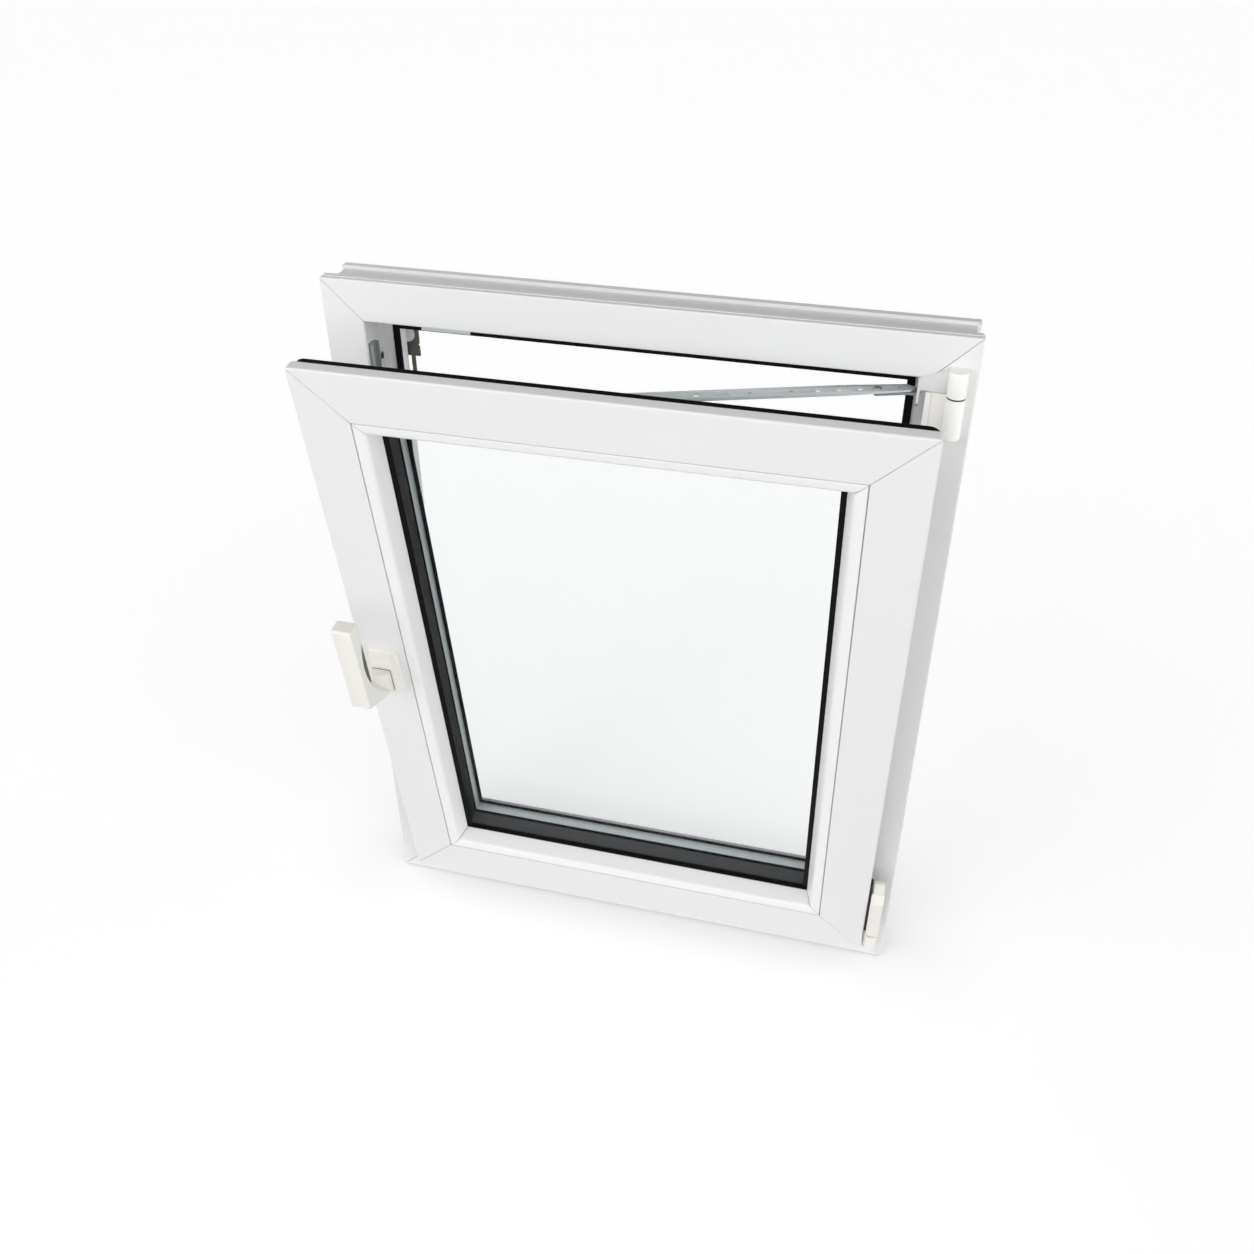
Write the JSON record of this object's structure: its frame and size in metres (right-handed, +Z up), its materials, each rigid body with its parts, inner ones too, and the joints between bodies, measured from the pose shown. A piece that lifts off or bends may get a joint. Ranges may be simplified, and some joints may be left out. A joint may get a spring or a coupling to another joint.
{
  "type": "tilt and turn window",
  "caption": "White plastic tilt and turn window with triple glazing, held open at the top by its stay arm, with a lever handle pointing up",
  "frame": {"origin": "middle of the flat front sealing rail under the sill of the fixed frame", "axes": "+X to the right seen from the room, +Y away from the room, +Z up"},
  "size_m": [0.7, 0.2355, 0.9],
  "materials": {
    "white_profile": "satin white rigid plastic profile",
    "black_gasket": "matt black rubber",
    "edge_sealant": "matt black sealant",
    "clear_glass": "clear float glass",
    "dark_spacer": "dark grey coated spacer",
    "spacer_metal": "matt aluminium",
    "zinc_steel": "zinc plated steel",
    "handle_lacquer": "warm white lacquer",
    "bronze_lacquer": "dark brown lacquer",
    "black_plastic": "matt black plastic",
    "hinge_cover": "warm white plastic"
  },
  "bodies": {
    "window": {"bead_bottom": "white_profile", "bead_gasket": "black_gasket", "bead_left": "white_profile", "bead_right": "white_profile", "bead_top": "white_profile", "bottom_hinge_band": "hinge_cover", "bottom_hinge_bearing": "hinge_cover", "bottom_hinge_shim": "black_plastic", "drain_cap_left": "white_profile", "drain_cap_right": "white_profile", "edge_seal": "edge_sealant", "faceplates": "zinc_steel", "frame_gasket": "black_gasket", "frame_head": "white_profile", "frame_left_jamb": "white_profile", "frame_right_jamb": "white_profile", "frame_sill": "white_profile", "handle_rose": "handle_lacquer", "inner_pane": "clear_glass", "inner_spacer": "dark_spacer", "locking_cams": "zinc_steel", "middle_pane": "clear_glass", "outer_catch_disc": "zinc_steel", "outer_catch_plate": "bronze_lacquer", "outer_glazing_gasket": "black_gasket", "outer_pane": "clear_glass", "outer_spacer": "spacer_metal", "sash_bottom_rail": "white_profile", "sash_gasket": "black_gasket", "sash_left_stile": "white_profile", "sash_right_stile": "white_profile", "sash_top_rail": "white_profile", "stay_arm": "zinc_steel", "stay_bracket": "zinc_steel", "stay_guide": "zinc_steel", "stay_slide": "zinc_steel", "striker_head": "zinc_steel", "striker_left_lower": "zinc_steel", "striker_left_upper": "zinc_steel", "striker_right": "zinc_steel", "striker_sill": "zinc_steel", "top_hinge_lower": "hinge_cover", "top_hinge_upper": "hinge_cover"},
    "handle": {"handle_lever": "handle_lacquer"}
  },
  "joints": [
    {"name": "handle_turn", "type": "hinge", "parent": "window", "child": "handle", "pos_m": [-0.29, -0.10146, 0.43755], "axis": [0, 0.9882, 0.153], "range_deg": [0, 180]}
  ]
}
